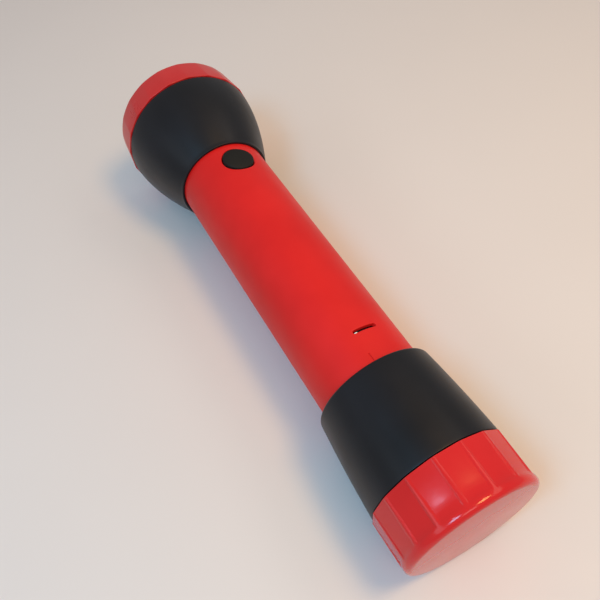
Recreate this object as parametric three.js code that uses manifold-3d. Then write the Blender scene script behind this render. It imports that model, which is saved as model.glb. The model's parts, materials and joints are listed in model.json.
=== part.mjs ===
// Two-cell plastic signal torch: red barrel, black bell and tail collar, red screw bezel and tail cap.
// Millimetres, +Z up. The torch lies on its tail band and on a flat of its bezel, beam towards +X.
import * as THREE from 'three';
import { mergeVertices } from 'three/addons/utils/BufferGeometryUtils.js';
import Module from 'manifold-3d';

const wasm = await Module();
wasm.setup();

// ---- Driving dimensions ----
// Stations (mm) run along the torch's own axis from the tail's end face towards the bezel rim.
const LENGTH = 230.2;
const CLEARANCE = 0.35;
const DEG = Math.PI / 180;

const barrel = { outer: 19.5, bore: 18, tail: 7, front: 186, threadRoot: 18.9, threadTop: 27 };
const sealGroove = { root: 18.75, from: 28.6, to: 30.8 };
const slot = { station: 69.7, length: 9.4, width: 1.6 };
const tick = { station: 58.7, length: 3.4, width: 0.5, depth: 0.35 };
const lieAngle = { boot: -14.1, slot: -13.2, tick: 0.4 };

const bell = { neck: 178.7, lip: 215.5, lipRadius: 30.6, front: 223.2, wall: 2.3 };
const bellInside = { neckBore: 19.85, mouth: 26.1, spigot: 28.1 };
const neckGroove = { root: 21.2, from: 183.6, to: 185.4 };
const bellCurve = [
  [20.4, 178.7], [21.7, 182.6], [24.25, 188.3], [26.3, 193.2], [28.0, 199.0], [29.3, 204.9], [30.3, 210.7],
];
const bezel = { rear: 215.9, rearRadius: 31.2, frontRadius: 29.9, sides: 20, bore: 29.4 };
const bezelLip = { mouth: 26.6, thickness: 1.9 };
const lens = { radius: 27.9, thickness: 2 };
const reflector = { rim: 26, flange: 27.6, rimStation: 224.3, focal: 5.94, hole: 8, wall: 1.2 };
const led = { boardRadius: 9.6, boardThickness: 1.5, package: 3.6, packageHeight: 0.7, dome: 1.5 };
const screw = { offset: 5.6, hole: 0.95, shank: 0.55, head: 1.4, headHeight: 0.75, length: 6 };
const holder = { rear: 181, bore: 2, sleeve: 16.8, flange: 18.9, flangeFront: 189 };
const holderPost = { radius: 11, rear: 190.5 };
const pin = { rear: 180, head: 3.2, headFront: 180.7, shank: 1.6 };

const collar = { rear: 19.4, front: 55.8, frontRadius: 22.3, rearRadius: 24.7, bulge: 0.3 };
const collarBore = { grip: 19.9, lip: 52, bore: 20.5, skirt: 22.3 };
const cap = { front: 19.05, frontRadius: 25.25, rearRadius: 24.85, fillet: 2, floor: 2.4, skirtTop: 34 };
const flats = { count: 16, frontApothem: 24.7, rearApothem: 24.25, end: 2.5, width: 8.2 };
const thread = { pitch: 3, crest: 0.7, root: 1.2, height: 0.95, inwardHeight: 0.75, embed: 0.5, turns: 2.5 };
const tailThread = { station: 15, bore: 20.4 };
const bezelThread = { station: 217.4, turns: 1.25 };

const cell = { radius: 16.8, length: 61.5, nub: 1.5, nubRadius: 4.75, tail: 17.8 };
const tailSpring = { wire: 0.75, base: 11, tip: 6.5, from: 4.7, to: 16.6, turns: 4 };
const boot = { station: 168.8, radius: 6.7, skirt: 17.3, edge: 19.5, crown: 20.5 };
const housing = { rear: 146.5, front: 179.6, radius: 17.4, deck: 13.6, pocket: 6.6, pocketFloor: 4.4 };
const plunger = { head: 5.9, headFrom: 15.2, headTo: 16.95, stem: 2.8, stemFrom: 7.2 };
const bridge = { radius: 2.6, from: 6.4, to: 6.85 };
const clampRing = { inner: 7.2, outer: 8.8, from: 13.95, to: 14.9 };
const returnSpring = { radius: 4.6, wire: 0.35, from: 5.3, pitch: 1.9, turns: 4 };
const leaf = { width: 1.6, thickness: 0.4, side: 1.8, height: 3.9, gap: 0.5, tail: 0.4 };
const plate = { inner: 2, outer: 18.2, thickness: 0.9 };
const strip = { inner: 17.2, outer: 17.6, width: 5, from: 4.3, to: 164 };

const FINE = 48;
const COARSE = 28;

// ---- Shape helpers ----

// Merges shared corners, drops slivers of no area and turns the faces outwards.
function closed(geometry) {
  geometry.deleteAttribute('normal');
  geometry.deleteAttribute('uv');
  const merged = mergeVertices(geometry, 1e-4);
  const corners = merged.attributes.position;
  const index = merged.index.array;
  const kept = [];
  let volume = 0;
  for (let i = 0; i < index.length; i += 3) {
    const [a, b, c] = [index[i], index[i + 1], index[i + 2]];
    if (a === b || b === c || c === a) continue;
    kept.push(a, b, c);
    const [p, q, r] = [a, b, c].map((k) => new THREE.Vector3().fromBufferAttribute(corners, k));
    volume += p.dot(q.cross(r));
  }
  if (volume < 0) kept.reverse();
  merged.setIndex(kept);
  return merged;
}

// Solid turned about the torch's axis from [radius, station] points; the profile closes on itself.
function turned(profile, segments = FINE, phase = 0) {
  const points = [...profile, profile[0]].map(([radius, station]) => new THREE.Vector2(radius, station));
  return closed(new THREE.LatheGeometry(points, segments, phase));
}

// Ring of round section.
function roundRing(radius, station, section) {
  const profile = [];
  for (let k = 0; k < 6; k += 1) {
    const angle = (k / 6) * 2 * Math.PI;
    profile.push([radius + section * Math.cos(angle), station + section * Math.sin(angle)]);
  }
  return turned(profile, COARSE);
}

// Right-handed helical body: a section of [radial, axial] offsets swept about the axis.
function helix({ radius, tipRadius = radius, station, pitch, turns, section, steps = 24 }) {
  const count = Math.round(turns * steps);
  const positions = [];
  const index = [];
  const sides = section.length;
  for (let i = 0; i <= count; i += 1) {
    const angle = (i / steps) * 2 * Math.PI;
    const middle = radius + ((tipRadius - radius) * i) / count;
    for (const [radial, axial] of section) {
      const distance = middle + radial;
      const along = station + (pitch * i) / steps + axial;
      positions.push(distance * Math.sin(angle), along, distance * Math.cos(angle));
    }
  }
  for (let i = 0; i < count; i += 1) {
    for (let k = 0; k < sides; k += 1) {
      const a = i * sides + k;
      const b = i * sides + ((k + 1) % sides);
      index.push(a, b, b + sides, a, b + sides, a + sides);
    }
  }
  const last = count * sides;
  for (let k = 1; k < sides - 1; k += 1) {
    index.push(0, k + 1, k, last, last + k, last + k + 1);
  }
  const geometry = new THREE.BufferGeometry();
  geometry.setAttribute('position', new THREE.Float32BufferAttribute(positions, 3));
  geometry.setIndex(index);
  return closed(geometry);
}

function wireSection(radius, sides = 6) {
  return Array.from({ length: sides }, (_, k) => {
    const angle = (k / sides) * 2 * Math.PI;
    return [radius * Math.cos(angle), radius * Math.sin(angle)];
  });
}

function toManifold(geometry) {
  return new wasm.Manifold(new wasm.Mesh({
    numProp: 3,
    vertProperties: new Float32Array(geometry.attributes.position.array),
    triVerts: new Uint32Array(geometry.index.array),
  }));
}

function fromManifold(manifold) {
  const mesh = manifold.getMesh();
  const geometry = new THREE.BufferGeometry();
  geometry.setAttribute('position', new THREE.BufferAttribute(mesh.vertProperties, 3));
  geometry.setIndex(new THREE.BufferAttribute(mesh.triVerts, 1));
  return geometry;
}

function cut(geometry, ...tools) {
  return fromManifold(tools.reduce((body, tool) => body.subtract(toManifold(tool)), toManifold(geometry)));
}

function join(geometry, ...additions) {
  return fromManifold(additions.reduce((body, other) => body.add(toManifold(other)), toManifold(geometry)));
}

// Box with its centre at (x, station, z).
function block(width, along, height, x, station, z) {
  return closed(new THREE.BoxGeometry(width, along, height).translate(x, station, z));
}

// Round post or hole along the radial +Z direction.
function post(radius, from, to, station, segments = COARSE) {
  const geometry = new THREE.CylinderGeometry(radius, radius, to - from, segments);
  return closed(geometry.rotateX(Math.PI / 2).translate(0, station, (from + to) / 2));
}

// Turned solid standing along the radial +Z direction at a station, from [radius, height] points.
function standing(profile, station, segments = COARSE) {
  const points = [...profile, profile[0]].map(([radius, height]) => new THREE.Vector2(radius, height));
  return closed(new THREE.LatheGeometry(points, segments).rotateX(Math.PI / 2).translate(0, station, 0));
}

// Angle measured over the top towards +Y, as a turn about the torch's own axis.
function turnedTo(geometry, angle) {
  return geometry.rotateY(-angle * DEG);
}

// ---- Materials ----

function finish(color, roughness, metalness = 0) {
  return new THREE.MeshStandardMaterial({ color, roughness, metalness });
}

const redSatin = finish('#d8302a', 0.5);
const redGloss = finish('#d0342f', 0.22);
const blackMatte = finish('#2a2b30', 0.6);
const blackRubber = finish('#1c1c18', 0.85);
const darkPlastic = finish('#34363a', 0.65);
const whitePlastic = finish('#e6e3da', 0.55);
const clearPlastic = finish('#dfe6ea', 0.05);
const mirrorCoat = finish('#d9dcdf', 0.06, 1);
const aluminium = finish('#b9bcc0', 0.35, 1);
const brass = finish('#b8924a', 0.35, 1);
const springSteel = finish('#a9acb0', 0.3, 1);
const cellSleeve = finish('#23272c', 0.4);
const ledYellow = finish('#e8d35a', 0.4);
const silicone = finish('#efe9cf', 0.1);

const torch = new THREE.Group();

function add(name, geometry, material, parent = torch) {
  const mesh = new THREE.Mesh(geometry, material);
  mesh.name = name;
  parent.add(mesh);
}

// ---- Barrel ----

// Ridge of a thread as [radial, axial] offsets; side is 1 on a male thread and -1 on a female one.
function threadSection(height, side) {
  const { root, crest, embed } = thread;
  return [
    [-side * embed, -root / 2], [side * height, -crest / 2],
    [side * height, crest / 2], [-side * embed, root / 2],
  ];
}

function barrelTube() {
  const { outer, bore, tail, front, threadRoot, threadTop } = barrel;
  const tube = turned([
    [bore, tail], [threadRoot, tail], [threadRoot, threadTop], [outer, threadTop + 0.6],
    [outer, sealGroove.from], [sealGroove.root, sealGroove.from], [sealGroove.root, sealGroove.to],
    [outer, sealGroove.to], [outer, front], [bore, front],
  ]);
  const rib = helix({
    radius: threadRoot, station: tailThread.station, pitch: thread.pitch, turns: thread.turns,
    section: threadSection(thread.height, 1),
  });
  const bootHole = turnedTo(post(boot.radius + CLEARANCE, 12, 24, boot.station), lieAngle.boot);
  const ventSlot = turnedTo(block(slot.length, slot.width, 8, 0, slot.station, 19), lieAngle.slot);
  const lineCutter = block(tick.width, tick.length, 1, 0, tick.station, outer + 0.5 - tick.depth);
  const lineMark = turnedTo(lineCutter, lieAngle.tick);
  return cut(join(tube, rib), bootHole, ventSlot, lineMark);
}

add('barrel_tube', barrelTube(), redSatin);

// ---- Head: bell, bezel, lens and lamp ----

function bellHousing() {
  const { neck, lip, lipRadius, front, wall } = bell;
  const { neckBore, mouth, spigot } = bellInside;
  const outside = [...bellCurve, [lipRadius, lip], [spigot, lip], [spigot, front]];
  const inside = bellCurve.slice(3, 5).reverse().map(([radius, station]) => [radius - wall, station + 0.6]);
  const shell = turned([
    ...outside, [mouth, front], [mouth, 205], ...inside, [21.5, 189.5], [neckBore, 187.5],
    [neckBore, neckGroove.to], [neckGroove.root, neckGroove.to], [neckGroove.root, neckGroove.from],
    [neckBore, neckGroove.from], [neckBore, neck],
  ]);
  const rib = helix({
    radius: spigot, station: bezelThread.station, pitch: thread.pitch, turns: bezelThread.turns,
    section: threadSection(thread.height, 1),
  });
  return join(shell, rib);
}

function bezelRing() {
  const { rear, rearRadius, frontRadius, sides, bore } = bezel;
  const { mouth, thickness: lip } = bezelLip;
  const halfSide = Math.PI / sides;
  const outside = turned([
    [0, rear], [rearRadius, rear], [frontRadius + 0.1, LENGTH - 1.2], [frontRadius - 0.35, LENGTH - 0.4],
    [frontRadius - 1.1, LENGTH], [0, LENGTH],
  ], sides, halfSide);
  const inside = turned([
    [0, rear - 1], [bore, rear - 1], [bore, LENGTH - 5], [lens.radius + CLEARANCE, LENGTH - 5],
    [lens.radius + CLEARANCE, LENGTH - lip], [mouth, LENGTH - lip], [mouth + 0.8, LENGTH + 1],
    [0, LENGTH + 1],
  ]);
  const rib = helix({
    radius: bore, station: bezelThread.station + thread.pitch / 2, pitch: thread.pitch,
    turns: bezelThread.turns, section: threadSection(thread.inwardHeight, -1),
  });
  return join(cut(outside, inside), rib);
}

// Parabolic bowl open at its base for the lamp, with a flange that rests on the bell's front edge.
function reflectorBowl() {
  const { rim, flange, rimStation, focal, hole, wall } = reflector;
  const vertex = rimStation - rim ** 2 / (4 * focal);
  const steps = 5;
  const inside = [];
  for (let k = 0; k <= steps; k += 1) {
    const radius = hole + ((rim - hole) * k) / steps;
    inside.push([radius, vertex + radius ** 2 / (4 * focal)]);
  }
  const thicken = ([radius, station]) => [radius + wall * 0.9, station - wall * 0.5];
  const outside = inside.slice(1, -1).reverse().map(thicken);
  return turned([
    ...inside, [flange, rimStation], [flange, rimStation - 0.8], [rim - 0.4, rimStation - 0.8], ...outside,
    [hole + wall, inside[0][1]],
  ], COARSE);
}

const lampBase = reflector.rimStation - (reflector.rim ** 2 - reflector.hole ** 2) / (4 * reflector.focal);
const boardTop = lampBase - CLEARANCE;
const boardBottom = boardTop - led.boardThickness;
const holderTop = boardBottom - CLEARANCE;

const SCREW_SIDES = { left: -1, right: 1 };

// Short round post beside the axis, for one of the lamp's screws or its hole.
function screwPost(profile, side) {
  return closed(turned(profile, 8).translate(SCREW_SIDES[side] * screw.offset, 0, 0));
}

function screwHoles(from, to) {
  const { hole } = screw;
  return ['left', 'right'].map((side) => screwPost([[0, from], [hole, from], [hole, to], [0, to]], side));
}

function lampHolder() {
  const { rear, bore, sleeve, flange, flangeFront } = holder;
  const step = barrel.front + CLEARANCE;
  const body = turned([
    [bore, rear], [sleeve, rear], [sleeve, step], [flange, step],
    [flange, flangeFront], [holderPost.radius, holderPost.rear], [holderPost.radius, holderTop],
    [bore, holderTop],
  ], COARSE);
  return cut(body, ...screwHoles(flangeFront - 1, holderTop + 1));
}

function boardScrew(side) {
  const { shank, head, headHeight, length } = screw;
  const seat = boardTop + CLEARANCE;
  return screwPost([
    [0, holderTop - length], [shank, holderTop - length], [shank, seat], [head, seat],
    [head, seat + headHeight], [0, seat + headHeight],
  ], side);
}

function ledBoard() {
  const { boardRadius } = led;
  const board = turned([
    [0, boardBottom], [boardRadius, boardBottom], [boardRadius, boardTop], [0, boardTop],
  ], 24);
  return cut(board, ...screwHoles(boardBottom - 1, boardTop + 1));
}

const packageTop = boardTop + CLEARANCE + led.packageHeight;

function ledDome() {
  const base = packageTop + CLEARANCE;
  const profile = [[0, base]];
  for (let k = 0; k <= 5; k += 1) {
    const angle = (k / 5) * (Math.PI / 2);
    profile.push([led.dome * Math.cos(angle), base + led.dome * Math.sin(angle)]);
  }
  return turned(profile, 16);
}

const lensBack = LENGTH - bezelLip.thickness - CLEARANCE - lens.thickness;

add('bell_housing', bellHousing(), blackMatte);
add('bezel_ring', bezelRing(), redSatin);
add('lens', turned([
  [0, lensBack], [lens.radius, lensBack],
  [lens.radius, lensBack + lens.thickness], [0, lensBack + lens.thickness],
]), clearPlastic);
add('lens_gasket', roundRing(27, (lensBack + reflector.rimStation) / 2, 0.5), blackRubber);
add('reflector', reflectorBowl(), mirrorCoat);
add('led_board', ledBoard(), aluminium);
add('led_package', block(
  led.package, led.packageHeight, led.package, 0, packageTop - led.packageHeight / 2, 0,
), ledYellow);
add('led_dome', ledDome(), silicone);
add('board_screw_left', boardScrew('left'), springSteel);
add('board_screw_right', boardScrew('right'), springSteel);
add('lamp_holder', lampHolder(), whitePlastic);
add('lamp_pin', turned([
  [0, pin.rear], [pin.head, pin.rear], [pin.head, pin.headFront], [pin.shank, pin.headFront],
  [pin.shank, holderTop - 0.6], [0, holderTop - 0.6],
], 16), brass);
add('neck_seal', roundRing(20.4, (neckGroove.from + neckGroove.to) / 2, 0.45), blackRubber);

// ---- Switch, square to the barrel under the boot ----

const switchGroup = new THREE.Group();
switchGroup.rotation.y = -lieAngle.boot * DEG;
torch.add(switchGroup);

function switchHousing() {
  const { rear, front, radius, deck, pocket, pocketFloor } = housing;
  const drum = turned([[0, rear], [radius, rear], [radius, front], [0, front]]);
  const deckCut = block(40, 30, 10, 0, boot.station + 5, deck + 5);
  const pocketHole = post(pocket, pocketFloor, 20, boot.station);
  const stripSlot = block(strip.width + 1.4, 60, 2, 0, rear, -strip.outer).rotateY(lieAngle.boot * DEG);
  const channel = leaf.width + 0.8;
  const rearChannel = block(channel, 30, channel / 2, -leaf.side, boot.station - 15, leaf.height);
  const frontChannel = block(channel, 30, channel / 2, leaf.side, boot.station + 15, leaf.height);
  return cut(drum, deckCut, pocketHole, stripSlot, rearChannel, frontChannel);
}

add('switch_housing', switchHousing(), darkPlastic, switchGroup);
add('switch_boot', standing([
  [0, boot.skirt], [boot.radius - 0.5, boot.skirt], [boot.radius - 0.1, boot.edge - 0.5],
  [boot.radius - 0.5, boot.edge + 0.1],
  [4.4, boot.crown - 0.28], [2.2, boot.crown - 0.05], [0, boot.crown],
], boot.station), blackRubber, switchGroup);
add('switch_plunger', standing([
  [0, plunger.stemFrom], [plunger.stem, plunger.stemFrom], [plunger.stem, plunger.headFrom],
  [plunger.head, plunger.headFrom], [plunger.head, plunger.headTo], [0, plunger.headTo],
], boot.station, 20), whitePlastic, switchGroup);
add('contact_bridge', standing([
  [0, bridge.from], [bridge.radius, bridge.from], [bridge.radius, bridge.to], [0, bridge.to],
], boot.station, 16), brass, switchGroup);
add('boot_clamp_ring', standing([
  [clampRing.inner, clampRing.from], [clampRing.outer, clampRing.from],
  [clampRing.outer, clampRing.to], [clampRing.inner, clampRing.to],
], boot.station, 20), darkPlastic, switchGroup);
add('plunger_spring', helix({
  radius: returnSpring.radius, station: returnSpring.from, pitch: returnSpring.pitch,
  turns: returnSpring.turns, section: wireSection(returnSpring.wire, 5), steps: 12,
}).rotateX(Math.PI / 2).translate(0, boot.station, 0), springSteel, switchGroup);

// Flat brass leaf lying in its channel under the contact bridge.
function terminal(from, to, x) {
  return block(leaf.width, to - from, leaf.thickness, x, (from + to) / 2, leaf.height);
}

const rearLeaf = terminal(housing.rear - leaf.tail, boot.station - leaf.gap, -leaf.side);
add('rear_terminal', rearLeaf, brass, switchGroup);
add('front_terminal', terminal(boot.station + leaf.gap, housing.front, leaf.side), brass, switchGroup);

// ---- Cells and contacts ----

function batteryCell(name, tail) {
  const { radius, length, nub, nubRadius } = cell;
  const shoulder = tail + length - nub;
  add(`${name}_can`, turned([
    [0, tail], [radius - 1.5, tail], [radius - 1, tail + 0.5], [radius, tail + 0.9],
    [radius, shoulder - 0.6], [radius - 0.6, shoulder], [radius - 1.6, shoulder],
    [radius - 1.6, shoulder - 1.4], [0, shoulder - 1.4],
  ], COARSE), cellSleeve);
  add(`${name}_seal`, turned([
    [nubRadius + 0.4, shoulder - 1.05], [radius - 2, shoulder - 1.05], [radius - 2, shoulder - 0.3],
    [nubRadius + 0.4, shoulder - 0.3],
  ], COARSE), darkPlastic);
  add(`${name}_nub`, turned([
    [0, shoulder - 1.05], [nubRadius, shoulder - 1.05], [nubRadius, shoulder + nub - 0.5],
    [nubRadius - 0.5, shoulder + nub], [0, shoulder + nub],
  ], 24), springSteel);
}

batteryCell('rear_cell', cell.tail);
batteryCell('front_cell', cell.tail + cell.length + CLEARANCE);

const frontContactBack = cell.tail + 2 * cell.length + 2 * CLEARANCE;

function frontContact() {
  return turned([
    [0, frontContactBack], [4, frontContactBack], [5.5, frontContactBack + 3.6],
    [13, frontContactBack + 3.6],
    [13, frontContactBack + 4.2], [0, frontContactBack + 4.2],
  ], COARSE);
}

// Strip of sheet brass bent to the bore, lying along the bottom of the barrel.
function returnStrip() {
  const { inner, outer, width, from, to } = strip;
  const half = width / 2 / outer;
  const down = -Math.PI / 2;
  const shape = new THREE.Shape();
  shape.absarc(0, 0, outer, down - half, down + half, false);
  shape.absarc(0, 0, inner, down + half, down - half, true);
  const sweep = { depth: to - from, bevelEnabled: false, curveSegments: 4 };
  const geometry = new THREE.ExtrudeGeometry(shape, sweep);
  return closed(geometry.rotateX(Math.PI / 2).translate(0, to, 0));
}

add('front_contact', frontContact(), brass);
add('return_strip', returnStrip(), brass);

// ---- Tail: contact plate, spring, seal, collar and cap ----

const plateBack = cap.floor + CLEARANCE;
add('tail_contact', turned([
  [plate.inner, plateBack], [plate.outer, plateBack],
  [plate.outer, plateBack + plate.thickness], [plate.inner, plateBack + plate.thickness],
], COARSE), brass);
add('tail_spring', helix({
  radius: tailSpring.base, tipRadius: tailSpring.tip, station: tailSpring.from,
  pitch: (tailSpring.to - tailSpring.from) / tailSpring.turns, turns: tailSpring.turns,
  section: wireSection(tailSpring.wire), steps: 16,
}), springSteel);
add('tail_seal', roundRing(19.57, (sealGroove.from + sealGroove.to) / 2, 0.48), blackRubber);

function tailCollar() {
  const { rear, front, frontRadius, rearRadius, bulge } = collar;
  const { grip, lip, bore, skirt } = collarBore;
  const step = cap.skirtTop + CLEARANCE;
  const outside = [];
  const steps = 4;
  for (let k = 0; k <= steps; k += 1) {
    const part = k / steps;
    const radius = rearRadius + (frontRadius - rearRadius) * part + 4 * bulge * part * (1 - part);
    outside.push([radius, rear + (front - 1.6 - rear) * part]);
  }
  return turned([
    ...outside, [frontRadius - 0.5, front - 0.45], [frontRadius - 1.5, front], [grip, front],
    [grip, lip], [bore, lip - 0.6], [bore, step], [skirt, step], [skirt, rear],
  ]);
}

function tailCap() {
  const { front, frontRadius, rearRadius, fillet, floor, skirtTop } = cap;
  const corner = [];
  for (let k = 0; k <= 4; k += 1) {
    const angle = (k / 4) * (Math.PI / 2);
    corner.push([rearRadius - fillet + fillet * Math.sin(angle), fillet - fillet * Math.cos(angle)]);
  }
  const body = turned([
    [0, 0], ...corner, [frontRadius, front], [21.95, front], [21.95, skirtTop], [tailThread.bore, skirtTop],
    [tailThread.bore, floor], [0, floor],
  ], 4 * flats.count);
  const rib = helix({
    radius: tailThread.bore, station: tailThread.station + thread.pitch / 2, pitch: thread.pitch,
    turns: thread.turns, section: threadSection(thread.inwardHeight, -1),
  });
  return cut(join(body, rib), ...flatCuts());
}

// One slab for each flat, leaning with the taper and stopping short of the end band.
function flatCuts() {
  const { count, frontApothem, rearApothem, end, width } = flats;
  const height = cap.front - end;
  const lean = Math.atan((frontApothem - rearApothem) / height);
  const slabs = [];
  for (let k = 0; k < count; k += 1) {
    const slab = new THREE.BoxGeometry(width, height + 2, 4);
    slab.translate(0, (height + 2) / 2, 2).rotateX(lean);
    slab.translate(0, end, rearApothem).rotateY((k / count) * 2 * Math.PI);
    slabs.push(closed(slab));
  }
  return slabs;
}

add('tail_collar', tailCollar(), blackMatte);
add('tail_cap', tailCap(), redGloss);

// ---- Rest position: pitched so that the tail band and a bezel flat touch the ground ----

const bezelApothem = bezel.rearRadius * Math.cos(Math.PI / bezel.sides);
const contactSpan = bezel.rear - flats.end;
const pitch = Math.atan((bezelApothem - cap.rearRadius) / contactSpan);

torch.rotation.z = -Math.PI / 2;
const laid = new THREE.Group();
laid.rotation.y = -pitch;
laid.add(torch);

const part = new THREE.Group();
part.add(laid);
part.updateMatrixWorld(true);
const box = new THREE.Box3().setFromObject(part, true);
const centre = box.getCenter(new THREE.Vector3());
laid.position.set(-centre.x, -centre.y, -box.min.z);
part.updateMatrixWorld(true);

export default part;
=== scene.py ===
"""Signal torch lying on a pale table: fine surfaces, materials, light and camera round the CAD frame."""
import json
import math
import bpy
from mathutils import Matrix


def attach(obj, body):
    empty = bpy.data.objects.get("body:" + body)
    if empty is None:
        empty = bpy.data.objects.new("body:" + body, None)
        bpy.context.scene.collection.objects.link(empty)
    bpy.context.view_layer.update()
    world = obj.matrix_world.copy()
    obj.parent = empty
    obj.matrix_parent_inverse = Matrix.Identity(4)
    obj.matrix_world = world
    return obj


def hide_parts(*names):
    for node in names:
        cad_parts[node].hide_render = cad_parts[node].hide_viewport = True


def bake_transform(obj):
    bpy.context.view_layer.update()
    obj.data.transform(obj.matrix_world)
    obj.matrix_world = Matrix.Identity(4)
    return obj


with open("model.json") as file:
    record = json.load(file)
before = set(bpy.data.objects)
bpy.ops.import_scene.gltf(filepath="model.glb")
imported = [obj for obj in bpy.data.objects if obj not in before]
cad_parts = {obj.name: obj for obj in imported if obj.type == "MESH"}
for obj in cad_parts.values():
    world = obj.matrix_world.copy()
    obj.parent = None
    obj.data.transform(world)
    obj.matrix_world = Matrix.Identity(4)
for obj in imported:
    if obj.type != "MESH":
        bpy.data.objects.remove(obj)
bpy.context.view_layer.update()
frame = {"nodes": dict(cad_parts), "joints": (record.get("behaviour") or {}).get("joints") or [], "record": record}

from types import SimpleNamespace

import bpy
from mathutils import Matrix, Vector

MM = 0.001

# ---- The torch's own frame: station along the beam from the tail face, side and up, all in mm ----

TAIL_FACE = next(m for m in frame["record"]["mounts"] if m["name"] == "tail_face")
BEAM = -Vector(TAIL_FACE["axis"])
SIDE = Vector((0, 1, 0))
UP = BEAM.cross(SIDE)
TORCH = Matrix.Translation(Vector(TAIL_FACE["pos_m"])) @ Matrix((BEAM, SIDE, UP)).transposed().to_4x4()
TORCH = TORCH @ Matrix.Scale(MM, 4)


def measure(node):
    """Stations and radii (mm) that a CAD node spans in the torch's frame."""
    to_torch = TORCH.inverted()
    points = [to_torch @ v.co for v in frame["nodes"][node].data.vertices]
    radii = [math.hypot(p.y, p.z) for p in points]
    stations = [p.x for p in points]
    return SimpleNamespace(back=min(stations), front=max(stations), inner=min(radii), outer=max(radii))


def at(radius, station, angle):
    """Point at a radius and a station, turned from straight up towards the side axis."""
    return Vector((station, radius * math.sin(angle), radius * math.cos(angle)))


PRESS = next(j for j in frame["joints"] if j["name"] == "switch_press")
BOOT_UP = TORCH.inverted().to_3x3() @ -Vector(PRESS["axis"])
BOOT_ANGLE = math.atan2(BOOT_UP.y, BOOT_UP.z)
BOOT_STATION = (TORCH.inverted() @ Vector(PRESS["pos_m"])).x

# ---- Mesh helpers: every mesh is in millimetres in the torch's frame ----

SHARP_ANGLE = math.radians(38)
ON_AXIS = 1e-6


def make(name, vertices, faces, body, slot, material, nodes=(), placing=TORCH):
    """Adds a smooth-shaded piece and says what it rides on and the CAD nodes it replaces; the slot argument is not
    used.
    """
    mesh = bpy.data.meshes.new(name)
    mesh.from_pydata([tuple(v * MM) for v in vertices], [], faces)
    mesh.validate()
    mesh.polygons.foreach_set("use_smooth", [True] * len(mesh.polygons))
    mesh.set_sharp_from_angle(angle=SHARP_ANGLE)
    mesh.materials.append(material)
    piece = bpy.data.objects.new(name, mesh)
    bpy.context.scene.collection.objects.link(piece)
    piece.matrix_world = placing @ Matrix.Scale(1 / MM, 4)
    if body:
        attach(piece, body)
    if nodes:
        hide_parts(*nodes)
    return piece


def loft(rings, wrap=False):
    """Quads between rings of equal length; wrap joins the last ring to the first, else both are capped."""
    count = len(rings[0])
    vertices = [point for ring in rings for point in ring]
    faces = []
    last = len(rings) if wrap else len(rings) - 1
    for i in range(last):
        a, b = i * count, ((i + 1) % len(rings)) * count
        for k in range(count):
            n = (k + 1) % count
            faces.append((a + k, b + k, b + n, a + n))
    if not wrap:
        faces.append(tuple(range(count)))
        top = (len(rings) - 1) * count
        faces.append(tuple(top + k for k in reversed(range(count))))
    return vertices, faces


def turned(profile, segments=192):
    """Turned solid from (radius, station) points that close on themselves or run from axis to axis."""
    on_axis = profile[0][0] < ON_AXIS and profile[-1][0] < ON_AXIS
    rings = [[at(r, s, math.tau * k / segments) for k in range(segments)]
             for r, s in (profile[1:-1] if on_axis else profile)]
    if not on_axis:
        return loft(rings, wrap=True)
    vertices, faces = loft(rings)
    faces = faces[:-2]
    last_ring = (len(rings) - 1) * segments
    for (radius, station), start, order in ((profile[0], 0, 1), (profile[-1], last_ring, -1)):
        pole = len(vertices)
        vertices.append(at(radius, station, 0))
        for k in range(segments):
            pair = (start + k, start + (k + 1) % segments)
            faces.append((pole, *pair[::order]))
    return vertices, faces


def rounded(corners, steps=5):
    """Turns (radius, station, fillet) corners into a profile with an arc at each filleted corner."""
    profile = []
    count = len(corners)
    for i, (r, s, fillet) in enumerate(corners):
        here = Vector((r, s))
        if fillet == 0:
            profile.append((r, s))
            continue
        before = (Vector(corners[i - 1][:2]) - here).normalized()
        after = (Vector(corners[(i + 1) % count][:2]) - here).normalized()
        half = before.angle(after) / 2
        centre = here + (before + after).normalized() * (fillet / math.sin(half))
        start = here + before * (fillet / math.tan(half)) - centre
        end = here + after * (fillet / math.tan(half)) - centre
        sweep = start.angle_signed(end)
        for k in range(steps + 1):
            turn = Matrix.Rotation(-sweep * k / steps, 2)
            profile.append(tuple(centre + turn @ start))
    return profile


def circle(radius, sides):
    """Round section as (radial, axial) offsets."""
    return [(radius * math.cos(math.tau * k / sides), radius * math.sin(math.tau * k / sides))
            for k in range(sides)]


def helix(radius, tip, station, pitch, turns, section, steps=48):
    """Helical bar of a section of (radial, axial) offsets, from radius at its first end to tip at its last."""
    rings = []
    count = round(turns * steps)
    for i in range(count + 1):
        angle = -math.tau * i / steps
        middle = radius + (tip - radius) * i / count
        rings.append([at(middle + r, station + pitch * i / steps + s, angle) for r, s in section])
    return loft(rings)


def ease(x):
    """Smooth step from 0 to 1."""
    x = min(max(x, 0.0), 1.0)
    return x * x * (3 - 2 * x)


# ---- Materials ----


def nodes_of(name):
    """New material with its node tree and its main shader."""
    material = bpy.data.materials.new(name)
    material.use_nodes = True
    tree = material.node_tree
    shader = tree.nodes["Principled BSDF"]
    return material, tree, shader


def noise(tree, scale, detail=2.0, stretch=(1, 1, 1)):
    """Noise value in the piece's own coordinates, in metres."""
    where = tree.nodes.new("ShaderNodeTexCoord")
    mapping = tree.nodes.new("ShaderNodeMapping")
    mapping.inputs["Scale"].default_value = stretch
    texture = tree.nodes.new("ShaderNodeTexNoise")
    texture.inputs["Scale"].default_value = scale
    texture.inputs["Detail"].default_value = detail
    tree.links.new(where.outputs["Object"], mapping.inputs["Vector"])
    tree.links.new(mapping.outputs["Vector"], texture.inputs["Vector"])
    return texture.outputs["Fac"]


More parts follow.
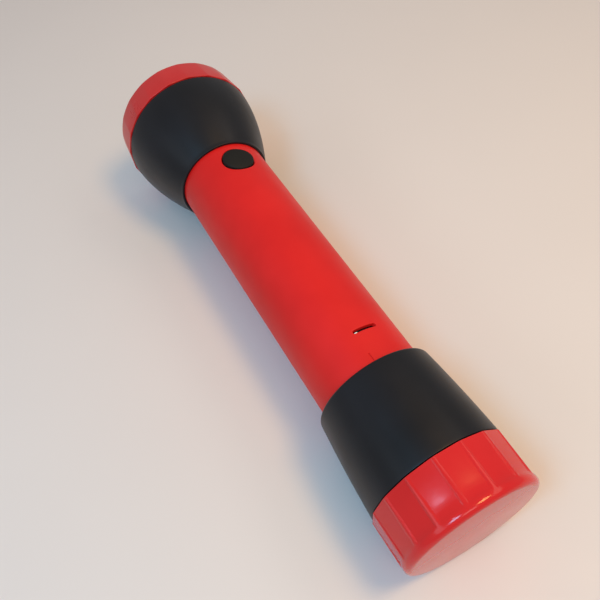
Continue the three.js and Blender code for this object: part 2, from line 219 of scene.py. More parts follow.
def span(tree, value, low, high, start=0.3, stop=0.7):
    """Maps a noise value, which lies mostly between start and stop, onto a range of numbers."""
    ramp = tree.nodes.new("ShaderNodeMapRange")
    ramp.inputs["From Min"].default_value = start
    ramp.inputs["From Max"].default_value = stop
    ramp.inputs["To Min"].default_value = low
    ramp.inputs["To Max"].default_value = high
    tree.links.new(value, ramp.inputs["Value"])
    return ramp.outputs["Result"]


def tint(tree, value, low, high):
    """Colour that goes from low to high with a value from 0 to 1."""
    mix = tree.nodes.new("ShaderNodeMix")
    mix.data_type = "RGBA"
    mix.inputs["A"].default_value = (*low, 1)
    mix.inputs["B"].default_value = (*high, 1)
    tree.links.new(value, mix.inputs["Factor"])
    return mix.outputs["Result"]


def bump(tree, shader, height, strength, distance):
    """Raises the surface by up to a distance in metres."""
    node = tree.nodes.new("ShaderNodeBump")
    node.inputs["Strength"].default_value = strength
    node.inputs["Distance"].default_value = distance
    tree.links.new(height, node.inputs["Height"])
    tree.links.new(node.outputs["Normal"], shader.inputs["Normal"])


def plastic(name, low, high, roughness, grain=3000.0, grain_depth=0.00002, specular=0.5):
    """Moulded plastic: faint colour drift, handling smudges in the roughness and a fine moulded grain."""
    material, tree, shader = nodes_of(name)
    drift = noise(tree, scale=45.0, detail=3.0)
    tree.links.new(tint(tree, span(tree, drift, 0, 1), low, high), shader.inputs["Base Color"])
    smudge = noise(tree, scale=120.0, detail=4.0, stretch=(0.5, 1, 1))
    tree.links.new(span(tree, smudge, *roughness), shader.inputs["Roughness"])
    bump(tree, shader, noise(tree, grain, detail=1.0), strength=0.35, distance=grain_depth)
    shader.inputs["Specular IOR Level"].default_value = specular
    return material


def metal(name, colour, roughness):
    """Metal with a fine drift in its colour and roughness."""
    material, tree, shader = nodes_of(name)
    drift = noise(tree, scale=900.0, detail=3.0)
    low = tuple(c * 0.9 for c in colour)
    tree.links.new(tint(tree, span(tree, drift, 0, 1), low, colour), shader.inputs["Base Color"])
    tree.links.new(span(tree, drift, *roughness), shader.inputs["Roughness"])
    shader.inputs["Metallic"].default_value = 1.0
    return material


def clear(name, colour, roughness, ior):
    """Clear plastic or silicone with faint smudges."""
    material, tree, shader = nodes_of(name)
    smudge = noise(tree, scale=200.0, detail=3.0)
    tree.links.new(span(tree, smudge, *roughness), shader.inputs["Roughness"])
    shader.inputs["Base Color"].default_value = (*colour, 1)
    shader.inputs["Transmission Weight"].default_value = 1.0
    shader.inputs["IOR"].default_value = ior
    return material


RED_SATIN = plastic("red_satin", low=(0.64, 0.008, 0.007), high=(0.72, 0.012, 0.010),
                    roughness=(0.43, 0.53), specular=0.34)
RED_GLOSS = plastic("red_gloss", low=(0.60, 0.012, 0.013), high=(0.67, 0.016, 0.017),
                    roughness=(0.10, 0.16), grain=1500.0, grain_depth=0.0000004, specular=0.43)
RED_RING = plastic("red_ring", low=(0.54, 0.012, 0.012), high=(0.61, 0.018, 0.018), roughness=(0.26, 0.36))
BLACK_MATTE = plastic("black_matte", low=(0.0035, 0.0045, 0.0070), high=(0.0065, 0.0075, 0.0115),
                      roughness=(0.36, 0.44), grain=4200.0, grain_depth=0.00003, specular=0.33)
BLACK_RUBBER = plastic("black_rubber", low=(0.005, 0.005, 0.004), high=(0.009, 0.009, 0.007),
                       roughness=(0.62, 0.78), grain=3600.0, grain_depth=0.00004, specular=0.3)
DARK_PLASTIC = plastic("dark_plastic", low=(0.02, 0.022, 0.024), high=(0.03, 0.032, 0.035),
                       roughness=(0.45, 0.6))
WHITE_PLASTIC = plastic("white_plastic", low=(0.72, 0.70, 0.64), high=(0.80, 0.78, 0.72),
                        roughness=(0.35, 0.5))
PHOSPHOR = plastic("led_phosphor", low=(0.72, 0.55, 0.06), high=(0.80, 0.63, 0.10), roughness=(0.4, 0.6))
SLEEVE = plastic("cell_sleeve", low=(0.012, 0.014, 0.018), high=(0.018, 0.02, 0.024), roughness=(0.22, 0.34))
BRASS = metal("brass_contact", colour=(0.72, 0.48, 0.18), roughness=(0.22, 0.4))
STEEL = metal("spring_steel", colour=(0.56, 0.56, 0.58), roughness=(0.18, 0.35))
ALUMINIUM = metal("aluminium_board", colour=(0.70, 0.71, 0.73), roughness=(0.28, 0.42))
MIRROR = metal("mirror_coat", colour=(0.90, 0.90, 0.91), roughness=(0.03, 0.07))
CLEAR_LENS = clear("clear_lens", colour=(0.96, 0.98, 0.98), roughness=(0.01, 0.04), ior=1.58)
SILICONE = clear("led_silicone", colour=(0.97, 0.95, 0.86), roughness=(0.04, 0.1), ior=1.41)

# ---- Barrel: a round tube whose grid opens round the engraved line, the slot and the boot hole ----

TUBE = measure("barrel_tube")
BARREL_OUTER = 19.5
BARREL_BORE = 18.0
WALL = BARREL_OUTER - BARREL_BORE
COLUMNS = 240
STEP_ANGLE = math.tau / COLUMNS
END_ROW = 0.4                   # first and last row of the grid, next to the tube's ends
TAIL_ROWS = [30.0, 44.0]        # rows of the plain stretch under the collar
LONGEST_ROW = 6.0
SAME = 1e-6


def opening(angle, station, half_width, half_length, corner, margin, cells_long, fillet, depth, through):
    """A rounded rectangle cut in the tube: half_width goes round the tube and half_length along it."""
    column = round((angle - BOOT_ANGLE) / STEP_ANGLE)
    reach = math.ceil((half_width + margin) / (BARREL_OUTER * STEP_ANGLE))
    rows = [station + (half_length + margin) * (2 * k / cells_long - 1) for k in range(cells_long + 1)]
    return SimpleNamespace(angle=angle, station=station, half_width=half_width, half_length=half_length,
                           corner=corner, first=column - reach, last=column + reach, rows=rows,
                           fillet=fillet, depth=depth, through=through)


BOOT_HOLE_RADIUS = 7.05
ENGRAVED_LINE = opening(angle=math.radians(0.4), station=58.7, half_width=0.26, half_length=1.7, corner=0.24,
                        margin=0.9, cells_long=12, fillet=0.12, depth=0.32, through=False)
SLOT = opening(angle=math.radians(-13.2), station=69.7, half_width=4.7, half_length=0.72, corner=0.6,
               margin=0.9, cells_long=8, fillet=0.18, depth=WALL, through=True)
BOOT_HOLE = opening(angle=BOOT_ANGLE, station=BOOT_STATION, half_width=BOOT_HOLE_RADIUS,
                    half_length=BOOT_HOLE_RADIUS, corner=BOOT_HOLE_RADIUS, margin=1.6, cells_long=34,
                    fillet=0.3, depth=WALL, through=True)
OPENINGS = [ENGRAVED_LINE, SLOT, BOOT_HOLE]


def angle_of(column):
    """Angle of a column of the grid."""
    return BOOT_ANGLE + column * STEP_ANGLE


def grid_rows():
    """Stations of the grid's rows: those of the openings, with even steps between them."""
    rows = [TUBE.back, TUBE.back + END_ROW, *TAIL_ROWS]
    for hole in OPENINGS:
        gap = hole.rows[0] - rows[-1]
        extra = int(gap // LONGEST_ROW)
        rows += [rows[-1] + gap * k / (extra + 1) for k in range(1, extra + 1)]
        rows += hole.rows
    rows += [rows[-1] + (TUBE.front - END_ROW - rows[-1]) * k / 2 for k in (1, 2)]
    return rows + [TUBE.front]


def edge_point(hole, angle, station):
    """Nearest point of the opening's outline to a point on the grid, and the way out of the opening there."""
    u = (angle - hole.angle) * BARREL_OUTER
    v = station - hole.station
    width = (hole.last - hole.first) / 2 * STEP_ANGLE * BARREL_OUTER
    length = (hole.rows[-1] - hole.rows[0]) / 2
    q = Vector((u / width * hole.half_width, v / length * hole.half_length))
    core_u, core_v = hole.half_width - hole.corner, hole.half_length - hole.corner
    core = Vector((min(max(q.x, -core_u), core_u), min(max(q.y, -core_v), core_v)))
    out = (q - core).normalized()
    return core + out * hole.corner, out


def barrel_shell():
    """Both walls of the tube on one grid, its end faces and its openings, with shared points."""
    rows = grid_rows()
    vertices, faces, found = [], [], {}

    def point(radius, station, angle):
        """Number of the vertex at a place, made when the place is new."""
        column = round((angle - BOOT_ANGLE) % math.tau / STEP_ANGLE, 3) % COLUMNS
        key = (round(radius, 4), round(station, 4), column)
        if key not in found:
            found[key] = len(vertices)
            vertices.append(at(radius, station, angle))
        return found[key]

    def inside(hole, row, column):
        """Whether a cell of the grid lies in the patch that an opening takes up."""
        in_rows = hole.rows[0] - SAME <= rows[row] and rows[row + 1] <= hole.rows[-1] + SAME
        return in_rows and (column - hole.first) % COLUMNS < hole.last - hole.first

    for radius, order in ((BARREL_OUTER, 1), (BARREL_BORE, -1)):
        for i in range(len(rows) - 1):
            for k in range(COLUMNS):
                if any(inside(h, i, k) and (h.through or radius == BARREL_OUTER) for h in OPENINGS):
                    continue
                quad = (point(radius, rows[i], angle_of(k)), point(radius, rows[i + 1], angle_of(k)),
                        point(radius, rows[i + 1], angle_of(k + 1)), point(radius, rows[i], angle_of(k + 1)))
                faces.append(quad[::order])
    for station, order in ((TUBE.back, 1), (TUBE.front, -1)):
        for k in range(COLUMNS):
            quad = (point(BARREL_OUTER, station, angle_of(k)), point(BARREL_OUTER, station, angle_of(k + 1)),
                    point(BARREL_BORE, station, angle_of(k + 1)), point(BARREL_BORE, station, angle_of(k)))
            faces.append(quad[::order])
    for hole in OPENINGS:
        add_opening(hole, point, faces)
    return vertices, faces


NEARING = (0.66, 0.33)          # share of the way left from the outline to the grid's border
FILLET_STEPS = 4
INNER_EDGE = 0.02               # last ring on an opening's wall, just short of the bore
INNER_NEARING = 0.15


def add_opening(hole, point, faces):
    """Rings from the grid's border over the filleted edge, down the opening's wall and to the bore's border."""
    columns = list(range(hole.first, hole.last + 1))
    border = [(hole.rows[0], c) for c in columns[:-1]] + [(s, hole.last) for s in hole.rows[:-1]]
    border += [(hole.rows[-1], c) for c in reversed(columns[1:])]
    border += [(s, hole.first) for s in reversed(hole.rows[1:])]
    rings = [[point(BARREL_OUTER, s, angle_of(c)) for s, c in border]]
    edges = [edge_point(hole, angle_of(c), s) for s, c in border]

    def ring(offset, radius, toward=0.0):
        """Outline moved out by an offset and part of the way toward the grid's border."""
        out = []
        for (edge, way), (station, column) in zip(edges, border):
            flat = edge + way * offset
            far = Vector(((angle_of(column) - hole.angle) * BARREL_OUTER, station - hole.station))
            flat = flat.lerp(far, toward)
            out.append(point(radius, hole.station + flat.y, hole.angle + flat.x / BARREL_OUTER))
        return out

    for part in NEARING:
        rings.append(ring(hole.fillet, BARREL_OUTER, part))
    for k in range(FILLET_STEPS + 1):
        turn = k / FILLET_STEPS * math.pi / 2
        drop = min(hole.fillet, hole.depth) * (1 - math.cos(turn))
        rings.append(ring(hole.fillet * (1 - math.sin(turn)), BARREL_OUTER - drop))
    if hole.through:
        rings.append(ring(0.0, BARREL_BORE + INNER_EDGE))
        rings.append(ring(0.0, BARREL_BORE, INNER_NEARING))
        rings.append([point(BARREL_BORE, s, angle_of(c)) for s, c in border])
    else:
        rings.append(ring(0.0, BARREL_OUTER - hole.depth))
    for outer, inner in zip(rings, rings[1:]):
        for k in range(len(outer)):
            n = (k + 1) % len(outer)
            quad = (outer[k], inner[k], inner[n], outer[n])
            if len(set(quad)) == 4:
                faces.append(quad)
    if not hole.through:
        faces.append(tuple(reversed(rings[-1])))


make("barrel_shell", *barrel_shell(), "torch_body", "red_satin", RED_SATIN, ["barrel_tube"])

# Pale piece at one end of the slot: a painted glint, not a real part
GLINT_HALF_LENGTH = 0.62          # round the barrel
GLINT_HALF_WIDTH = 0.17           # along the barrel
GLINT_HALF_HEIGHT = 0.4 * GLINT_HALF_LENGTH
SLOT_GLINT_PLACE = TORCH @ Matrix.Translation(at(BARREL_OUTER - 0.14, SLOT.station - 0.54, math.radians(-1.7)))


def slot_glint_piece():
    """Small pale flattened ball at one end of the slot: a painted glint, put where a highlight shows."""
    bend = [math.pi * (k / 12 - 0.5) for k in range(1, 12)]
    profile = [(GLINT_HALF_LENGTH * math.cos(a), GLINT_HALF_WIDTH * math.sin(a)) for a in bend]
    vertices, faces = turned([(0, -GLINT_HALF_WIDTH), *profile, (0, GLINT_HALF_WIDTH)], 32)
    return [Vector((v.z * GLINT_HALF_HEIGHT / GLINT_HALF_LENGTH, v.y, v.x)) for v in vertices], faces


make("slot_glint_piece", *slot_glint_piece(), "torch_body", "white_plastic", WHITE_PLASTIC, (), SLOT_GLINT_PLACE)

# ---- Threads ----

THREAD_PITCH = 3.0
THREAD_SINK = 0.3
THREAD_ROOT = 0.6               # half widths of a ridge
THREAD_CREST = 0.35
TAIL_THREAD_STATION = 15.0
TAIL_THREAD_TURNS = 2.5
BEZEL_THREAD_STATION = 217.4
BEZEL_THREAD_TURNS = 1.25
INWARD_HEIGHT = 0.75


def thread(radius, station, turns, height, side):
    """Helical ridge on a wall, standing outwards (side 1) or inwards (side -1)."""
    section = [(-side * THREAD_SINK, -THREAD_ROOT), (side * height, -THREAD_CREST),
               (side * height, THREAD_CREST), (-side * THREAD_SINK, THREAD_ROOT)]
    return helix(radius, radius, station, THREAD_PITCH, turns, section)


make("barrel_thread", *thread(BARREL_OUTER, TAIL_THREAD_STATION, TAIL_THREAD_TURNS, 0.4, 1),
     "torch_body", "red_satin", RED_SATIN)

# ---- Head ----

BELL = measure("bell_housing")
BEZEL = measure("bezel_ring")
BELL_LIP_RADIUS = 30.6
BELL_LIP = BEZEL.back - 0.4
BELL_FLARE = 1.6
FLARE_STEPS = 40
NECK_RADIUS = 20.4
NECK_BEAD = 0.2
NECK_BORE = 19.62
SPIGOT_RADIUS = 28.1
SPIGOT_BORE = 26.1
BELL_INSIDE = [(SPIGOT_BORE, 205, 3), (24.0, 193.8, 4), (21.5, 189.5, 1), (NECK_BORE, 187.5, 0.3)]


def bell_shell():
    """The outside swells from the neck to the lip as a power curve; a stepped spigot carries the bezel."""
    length = BELL_LIP - BELL.back
    flare = []
    for k in range(1, FLARE_STEPS):
        part = k / FLARE_STEPS
        radius = NECK_RADIUS + (BELL_LIP_RADIUS - NECK_RADIUS) * (1 - (1 - part) ** BELL_FLARE)
        flare.append((radius, BELL.back + length * part, 0))
    corners = [(NECK_BORE, BELL.back, 0.25), (NECK_RADIUS + NECK_BEAD, BELL.back, 0.25), *flare,
               (BELL_LIP_RADIUS, BELL_LIP, 0.35), (SPIGOT_RADIUS, BELL_LIP, 0.2),
               (SPIGOT_RADIUS, BELL.front, 0.3), (SPIGOT_BORE, BELL.front, 0.3), *BELL_INSIDE]
    return turned(rounded(corners))


make("bell_shell", *bell_shell(), "torch_body", "black_matte", BLACK_MATTE, ["bell_housing"])
make("bell_thread", *thread(SPIGOT_RADIUS, BEZEL_THREAD_STATION, BEZEL_THREAD_TURNS, 0.95, 1),
     "torch_body", "black_matte", BLACK_MATTE)

BEZEL_SIDES = 20
BEZEL_SIDE_STEPS = 24
BEZEL_CORNER = 3.0
BEZEL_TAPER = 1.25
BEZEL_RIM = 1.3
BEZEL_FADE = 0.75               # share of the facets that is gone at the front rim
BEZEL_ROUND = 0.2               # how far the round rim stands over the facets' middles
BEZEL_MOUTH = 26.6
BEZEL_MOUTH_FLARE = 0.8
BEZEL_LIP = 1.9
BEZEL_BORE = 29.4
LENS_SEAT_RADIUS = 28.25
LENS_SEAT_DEPTH = 5.0
WALL_MARGIN = 0.1


def faceted_radius(angle, apothem, sides, corner):
    """Radius of a regular polygon with rounded corners, a flat side facing angle 0."""
    half = math.pi / sides
    turn = abs((angle + half) % (2 * half) - half)
    flat_end = (apothem - corner) * math.tan(half)
    if math.tan(turn) * apothem <= flat_end:
        return apothem / math.cos(turn)
    centre = Vector((apothem - corner, flat_end))
    way = Vector((math.cos(turn), math.sin(turn)))
    along = way.dot(centre)
    return along + math.sqrt(max(along * along - centre.length_squared + corner * corner, 0.0))


def bezel_shell():
    """Flat-sided outside that rounds into a plain rim, and a turned inside with the lens seat."""
    segments = BEZEL_SIDE_STEPS * BEZEL_SIDES
    rear_apothem = BEZEL.outer * math.cos(math.pi / BEZEL_SIDES)
    lip, seat = BEZEL.front - BEZEL_LIP, BEZEL.front - LENS_SEAT_DEPTH
    corners = [(rear_apothem, BEZEL.back, 0.25), (rear_apothem - BEZEL_TAPER, BEZEL.front, BEZEL_RIM),
               (BEZEL_MOUTH + BEZEL_MOUTH_FLARE, BEZEL.front, 0.4), (BEZEL_MOUTH, lip, 0.15),
               (LENS_SEAT_RADIUS, lip, 0), (LENS_SEAT_RADIUS, seat, 0),
               (BEZEL_BORE, seat, 0), (BEZEL_BORE, BEZEL.back, 0.2)]
    rings = []
    for radius, station in rounded(corners, 8):
        on_outside = radius > BEZEL_BORE + WALL_MARGIN
        forward = (station - BEZEL.back) / (BEZEL.front - BEZEL.back)
        facet = 1 - BEZEL_FADE * ease(forward) if on_outside else 0.0
        round_swell = BEZEL_ROUND if on_outside else 0.0
        ring = []
        for k in range(segments):
            angle = math.tau * k / segments
            swell = faceted_radius(angle, radius, BEZEL_SIDES, BEZEL_CORNER) - radius
            ring.append(at(radius + round_swell + (swell - round_swell) * facet, station, angle))
        rings.append(ring)
    return loft(rings, wrap=True)


make("bezel_shell", *bezel_shell(), "front_ring", "red_satin", RED_RING, ["bezel_ring"])

LENS = measure("lens")
make("lens_disc", *turned(rounded([(0, LENS.back, 0), (LENS.outer, LENS.back, 0.3),
                                   (LENS.outer, LENS.front, 0.3), (0, LENS.front, 0)])),
     "lens_carrier", "clear_lens", CLEAR_LENS, ["lens"])


def ring_of(node, name, body):
    """Round-section ring in the place of a CAD ring."""
    size = measure(node)
    section = (size.front - size.back) / 2
    middle = (size.inner + size.outer) / 2
    station = (size.front + size.back) / 2
    profile = [(middle + r, station - s) for r, s in circle(section, 16)]
    make(name, *turned(profile, 128), body, "black_rubber", BLACK_RUBBER, [node])


ring_of("lens_gasket", "lens_gasket_ring", "lens_carrier")
ring_of("neck_seal", "neck_seal_ring", "torch_body")
ring_of("tail_seal", "tail_seal_ring", "torch_body")

BOWL = measure("reflector")
BOWL_RIM = 26.0
BOWL_FOCAL = 5.94
BOWL_HOLE = 8.0
BOWL_STEPS = 40
BOWL_WALL_OUT, BOWL_WALL_BACK = 1.08, 0.6
BOWL_FLANGE = 0.8
BOWL_FLANGE_ROOT = BOWL_RIM - 0.4
BOWL_FOOT = BOWL_HOLE + 1.2


def reflector_bowl():
    """Parabola with a wall of even thickness, a flat rim flange and a hole for the LED."""
    vertex = BOWL.front - BOWL_RIM ** 2 / (4 * BOWL_FOCAL)
    inside = [BOWL_HOLE + (BOWL_RIM - BOWL_HOLE) * k / BOWL_STEPS for k in range(BOWL_STEPS + 1)]
    profile = [(r, vertex + r * r / (4 * BOWL_FOCAL)) for r in inside]
    hole_edge = profile[0][1]
    outside = [(r + BOWL_WALL_OUT, vertex + r * r / (4 * BOWL_FOCAL) - BOWL_WALL_BACK)
               for r in reversed(inside[2:-4])]
    flange_back = BOWL.front - BOWL_FLANGE
    profile += [(BOWL.outer, BOWL.front), (BOWL.outer, flange_back), (BOWL_FLANGE_ROOT, flange_back)]
    return turned((profile + outside + [(BOWL_FOOT, hole_edge)])[::-1])


make("reflector_bowl", *reflector_bowl(), "torch_body", "mirror_coat", MIRROR, ["reflector"])

DOME = measure("led_dome")
DOME_STEPS = 16


def led_dome_lens():
    """Half ball on a flat foot."""
    profile = [(0, DOME.back), (DOME.outer, DOME.back)]
    for k in range(1, DOME_STEPS):
        rise = k / DOME_STEPS * math.pi / 2
        profile.append((DOME.outer * math.cos(rise), DOME.back + DOME.outer * math.sin(rise)))
    return turned([*profile, (0, DOME.back + DOME.outer)], 64)


make("led_dome_lens", *led_dome_lens(), "torch_body", "led_silicone", SILICONE, ["led_dome"])

# ---- Switch boot: a static rubber skin, tied to no body, whose rim sits in the barrel's hole ----

BOOT_FRAME = (TORCH @ Matrix.Translation((BOOT_STATION, 0, 0))
              @ Matrix.Rotation(-BOOT_ANGLE, 4, "X"))
BOOT_RADIUS = 6.7
BOOT_FOOT = 17.3                # heights over the barrel's axis
BOOT_SHOULDER = 19.6
BOOT_CROWN_EDGE = 19.9
BOOT_CROWN = 20.5
CROWN_RADIUS = 5.6
CROWN_DROP = 0.52
CROWN_POWER = 2.5


def boot_skin():
    """Low rubber dome with a flat skirt, standing along local z."""
    corners = [(0, BOOT_FOOT, 0), (BOOT_RADIUS - 0.3, BOOT_FOOT, 0.3),
               (BOOT_RADIUS - 0.05, BOOT_SHOULDER, 0.75), (CROWN_RADIUS + 0.3, BOOT_CROWN_EDGE, 0)]
    crown = [(r, BOOT_CROWN - CROWN_DROP * (r / CROWN_RADIUS) ** CROWN_POWER)
             for r in (CROWN_RADIUS, 4.9, 4.0, 3.0, 2.0, 1.0, 0.0)]
    vertices, faces = turned(rounded(corners, 8) + crown, 128)
    return [Vector((v.y, v.z, v.x)) for v in vertices], faces


boot = make("switch_boot_skin", *boot_skin(), None, "black_rubber", BLACK_RUBBER, ["switch_boot"], BOOT_FRAME)
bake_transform(boot)

# ---- Battery ----

CELL_SEGMENTS = 128
BUTTON_SEGMENTS = 96
CELL_FOOT_RISE, CELL_EDGE_RISE = 0.6, 0.9
CELL_FOOT_INSET, CELL_STEP_INSET = 1.4, 1.0
CELL_RIM = 1.6                  # width of the rolled rim round the front recess
CELL_RECESS = 1.4


def cell(prefix):
    """Rolled jacket with a recessed front, and its button."""
    can = measure(f"{prefix}_can")
    nub = measure(f"{prefix}_nub")
    rim = can.outer - CELL_RIM
    jacket = [(0, can.back, 0), (can.outer - CELL_FOOT_INSET, can.back, 0.3),
              (can.outer - CELL_STEP_INSET, can.back + CELL_FOOT_RISE, 0.3),
              (can.outer, can.back + CELL_EDGE_RISE, 0.4), (can.outer, can.front, 0.7), (rim, can.front, 0.3),
              (rim, can.front - CELL_RECESS, 0.2), (0, can.front - CELL_RECESS, 0)]
    button = [(0, nub.back, 0), (nub.outer, nub.back, 0.2), (nub.outer, nub.front, 0.6), (0, nub.front, 0)]
    make(f"{prefix}_jacket", *turned(rounded(jacket), CELL_SEGMENTS),
         "torch_body", "cell_sleeve", SLEEVE, [f"{prefix}_can"])
    make(f"{prefix}_button", *turned(rounded(button), BUTTON_SEGMENTS),
         "torch_body", "spring_steel", STEEL, [f"{prefix}_nub"])


cell("rear_cell")
cell("front_cell")

SPRING = measure("tail_spring")
SPRING_WIRE = 0.75
SPRING_TIP = 6.5
SPRING_TURNS = 4
SPRING_PITCH = (SPRING.front - SPRING.back - 2 * SPRING_WIRE) / SPRING_TURNS
make("tail_spring_coil", *helix(SPRING.outer - SPRING_WIRE, SPRING_TIP, SPRING.back + SPRING_WIRE,
                                SPRING_PITCH, SPRING_TURNS, circle(SPRING_WIRE, 12)),
     "spring_plate", "spring_steel", STEEL, ["tail_spring"])

# ---- Tail ----

COLLAR = measure("tail_collar")
CAP = measure("tail_cap")
COLLAR_REAR_RADIUS = 24.7
COLLAR_FRONT_RADIUS = 22.3
COLLAR_BULGE = 0.3
COLLAR_STEPS = 32
COLLAR_BORE = 20.5
COLLAR_SKIRT_BORE = 22.3
COLLAR_SHOULDER = 34.35         # stations where the inside steps: over the cap's skirt, and at the seal lip
SEAL_LIP_BACK, SEAL_LIP_FRONT = 51.4, 52.0


def collar_shell():
    """Slightly bulged cone over a stepped bore."""
    outside = []
    for k in range(1, COLLAR_STEPS):
        part = k / COLLAR_STEPS
        radius = COLLAR_REAR_RADIUS + (COLLAR_FRONT_RADIUS - COLLAR_REAR_RADIUS) * part
        station = COLLAR.back + (COLLAR.front - COLLAR.back) * part
        outside.append((radius + 4 * COLLAR_BULGE * part * (1 - part), station, 0))
    corners = [(COLLAR_REAR_RADIUS, COLLAR.back, 0.3), *outside, (COLLAR_FRONT_RADIUS, COLLAR.front, 1.0),
               (COLLAR.inner, COLLAR.front, 0.25), (COLLAR.inner, SEAL_LIP_FRONT, 0.2),
               (COLLAR_BORE, SEAL_LIP_BACK, 0.2), (COLLAR_BORE, COLLAR_SHOULDER, 0.2),
               (COLLAR_SKIRT_BORE, COLLAR_SHOULDER, 0.2), (COLLAR_SKIRT_BORE, COLLAR.back, 0.2)]
    return turned(rounded(corners, 8))


make("collar_shell", *collar_shell(), "tail_end", "black_matte", BLACK_MATTE, ["tail_collar"])

FLATS = 16
FLAT_STEPS = 44
CAP_FRONT = COLLAR.back - 0.35
CAP_FRONT_RADIUS, CAP_REAR_RADIUS = 25.25, 24.85
FLAT_FRONT_APOTHEM, FLAT_REAR_APOTHEM = 24.64, 24.16
FLAT_END = 2.35
FLAT_RAMP = 2.6
FLAT_CROWN = 0.05
STRIP_FRONT, STRIP_REAR = 0.3, 0.62
STRIP_EDGE = 0.34
CAP_FILLET = 2.0
CAP_BORE = 20.4
CAP_SKIRT_RADIUS = 21.95
CAP_FLOOR = 2.4
CAP_OUTSIDE = 24.0              # every point beyond this radius is on the cap's outside
RAMP_ROWS = [FLAT_END + 0.1 * k for k in range(9)]
CAP_ROWS = [2.1, *RAMP_ROWS, 3.4, 4.2, *range(6, 17, 2), 17.8]


def cap_radius(angle, station, outer):
    """Cone radius less the depth of the flat at this angle; narrow strips of the cone stay between flats."""
    part = (station - FLAT_END) / (CAP_FRONT - FLAT_END)
    if part <= 0:
        return outer
    half = math.pi / FLATS
    turn = abs((angle + half) % (2 * half) - half)
    apothem = FLAT_REAR_APOTHEM + (FLAT_FRONT_APOTHEM - FLAT_REAR_APOTHEM) * part
    across = math.tan(turn) / math.tan(half)
    along = 2 * part - 1
    crown = FLAT_CROWN * (1 - across * across) + FLAT_CROWN * (1 - along * along)
    flat = (apothem + crown) / math.cos(turn)
    strip = STRIP_REAR + (STRIP_FRONT - STRIP_REAR) * part
    from_strip = (half - turn) * outer - strip
    depth = max(outer - flat, 0.0)
    chamfer = min(max(from_strip / STRIP_EDGE, 0.0), 1.0)
    return outer - depth * chamfer * ease((station - FLAT_END) / FLAT_RAMP)


def cap_shell():
    """Closed cup: flat end disc, rounded band, flats between strips, and a skirt that goes into the collar."""
    segments = FLATS * FLAT_STEPS
    cone = [(CAP_REAR_RADIUS + (CAP_FRONT_RADIUS - CAP_REAR_RADIUS) * s / CAP_FRONT, s, 0) for s in CAP_ROWS]
    corners = [(0, 0, 0), (CAP_REAR_RADIUS, 0, CAP_FILLET), *cone, (CAP_FRONT_RADIUS, CAP_FRONT, 0.25),
               (CAP_SKIRT_RADIUS, CAP_FRONT, 0.1), (CAP_SKIRT_RADIUS, CAP.front, 0.3),
               (CAP_BORE, CAP.front, 0.3), (CAP_BORE, CAP_FLOOR, 0.5), (0, CAP_FLOOR, 0)]
    angles = [math.tau * k / segments for k in range(segments)]
    rings = []
    for radius, station in rounded(corners, 8)[1:-1]:
        on_outside = radius > CAP_OUTSIDE
        rings.append([at(cap_radius(a, station, radius) if on_outside else radius, station, a)
                      for a in angles])
    return loft(rings)


make("cap_shell", *cap_shell(), "tail_end", "red_gloss", RED_GLOSS, ["tail_cap"])
make("cap_thread", *thread(CAP_BORE, TAIL_THREAD_STATION + THREAD_PITCH / 2, TAIL_THREAD_TURNS,
                           INWARD_HEIGHT, -1), "tail_end", "red_gloss", RED_GLOSS)
make("bezel_thread", *thread(BEZEL_BORE, BEZEL_THREAD_STATION + THREAD_PITCH / 2, BEZEL_THREAD_TURNS,
                             INWARD_HEIGHT, -1), "front_ring", "red_satin", RED_SATIN)

# ---- CAD pieces that stay as they are take a finished material ----

FINISHES = {
    "dark_plastic": DARK_PLASTIC, "white_plastic": WHITE_PLASTIC, "brass_contact": BRASS,
    "spring_steel": STEEL, "aluminium_board": ALUMINIUM, "led_phosphor": PHOSPHOR,
    "black_rubber": BLACK_RUBBER, "black_matte": BLACK_MATTE, "red_satin": RED_SATIN,
    "red_gloss": RED_GLOSS, "cell_sleeve": SLEEVE, "mirror_coat": MIRROR,
    "clear_lens": CLEAR_LENS, "led_silicone": SILICONE,
}
for subpart in frame["record"]["subparts"]:
    for holder in frame["nodes"][subpart["node"]].material_slots:
        holder.material = FINISHES[subpart["material_slot"]]

# ---- Table, camera and light, in metres ----

TABLE_HALF = 3.0
CAMERA_PLACE = TORCH @ Vector((-32.3, 60.75, 207.4))
CAMERA_AIM = TORCH @ Vector((103.8, 3.4, 0.0))
CAMERA_ROLL = math.radians(7.70)
CAMERA_LENS = 39.44
CAMERA_SENSOR = 36.0


def table():
    """Plain pale floor."""
    size = TABLE_HALF
    mesh = bpy.data.meshes.new("table")
    mesh.from_pydata([(-size, -size, 0), (size, -size, 0), (size, size, 0), (-size, size, 0)],
                     [], [(0, 1, 2, 3)])
    material, tree, shader = nodes_of("table_paint")
    paint = span(tree, noise(tree, scale=6.0), 0, 1)
    tree.links.new(tint(tree, paint, (0.74, 0.70, 0.68), (0.76, 0.72, 0.70)), shader.inputs["Base Color"])
    tree.links.new(span(tree, noise(tree, scale=60.0, detail=3.0), 0.55, 0.65), shader.inputs["Roughness"])
    mesh.materials.append(material)
    floor = bpy.data.objects.new("table", mesh)
    bpy.context.scene.collection.objects.link(floor)


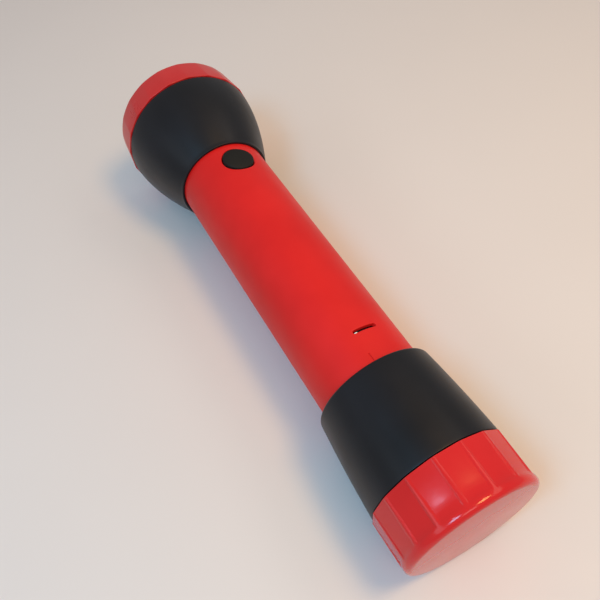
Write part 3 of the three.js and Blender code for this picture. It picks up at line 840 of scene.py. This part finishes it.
def camera():
    """Camera over the tail, looking along the torch with a slight roll."""
    view = bpy.data.cameras.new("camera")
    view.lens = CAMERA_LENS
    view.sensor_width = CAMERA_SENSOR
    view.clip_start = 0.01
    holder = bpy.data.objects.new("camera", view)
    bpy.context.scene.collection.objects.link(holder)
    forward = (CAMERA_AIM - CAMERA_PLACE).normalized()
    right = forward.cross(UP).normalized()
    right = Matrix.Rotation(CAMERA_ROLL, 3, forward) @ right
    up = right.cross(forward)
    turn = Matrix((right, up, -forward)).transposed()
    holder.matrix_world = Matrix.Translation(CAMERA_PLACE) @ turn.to_4x4()
    bpy.context.scene.camera = holder


def ambient(colour, strength):
    """Even light from all round."""
    world = bpy.data.worlds.new("room")
    world.use_nodes = True
    background = world.node_tree.nodes["Background"]
    background.inputs["Color"].default_value = (*colour, 1)
    background.inputs["Strength"].default_value = strength
    bpy.context.scene.world = world


def lamp(name, way, distance, size, power, colour):
    """Rectangular lamp (length along x, width) shining at the middle of the torch from a direction."""
    light = bpy.data.lights.new(name, "AREA")
    light.shape = "RECTANGLE"
    light.size, light.size_y = size
    light.energy = power
    light.color = colour
    holder = bpy.data.objects.new(name, light)
    bpy.context.scene.collection.objects.link(holder)
    toward = Vector(way).normalized()
    holder.location = CAMERA_AIM + toward * distance
    holder.rotation_euler = (-toward).to_track_quat("-Z", "Y").to_euler()


table()
camera()
ambient(colour=(1.0, 0.96, 0.955), strength=0.40)
# Two coloured key lamps, a soft fill, two small lamps for the glints on the cap and two long strips
lamp("warm_lamp", way=(-0.29, -0.30, 0.92), distance=0.66, size=(0.20, 0.18), power=1.95,
     colour=(1.0, 0.60, 0.22))
lamp("cool_lamp", way=(-0.27, 0.48, 0.84), distance=0.66, size=(0.20, 0.18), power=1.5,
     colour=(0.20, 0.64, 1.0))
lamp("fill_lamp", way=(-0.58, 0.08, 0.81), distance=0.9, size=(0.3, 0.3), power=0.75,
     colour=(1.0, 0.92, 0.84))
lamp("warm_glint", way=(0.03, -0.31, 0.938), distance=1.4, size=(0.07, 0.07), power=0.07,
     colour=(1.0, 0.5, 0.2))
lamp("cool_glint", way=(0.03, 0.49, 0.857), distance=1.4, size=(0.07, 0.07), power=0.18,
     colour=(0.66, 0.72, 1.0))
lamp("warm_strip", way=(-0.1, -0.66, 0.74), distance=1.2, size=(1.0, 0.3), power=1.3,
     colour=(1.0, 0.82, 0.66))
lamp("cool_strip", way=(-0.1, 0.82, 0.57), distance=1.2, size=(1.0, 0.3), power=1.2,
     colour=(0.72, 0.86, 1.0))
bpy.context.scene.view_settings.view_transform = "Standard"
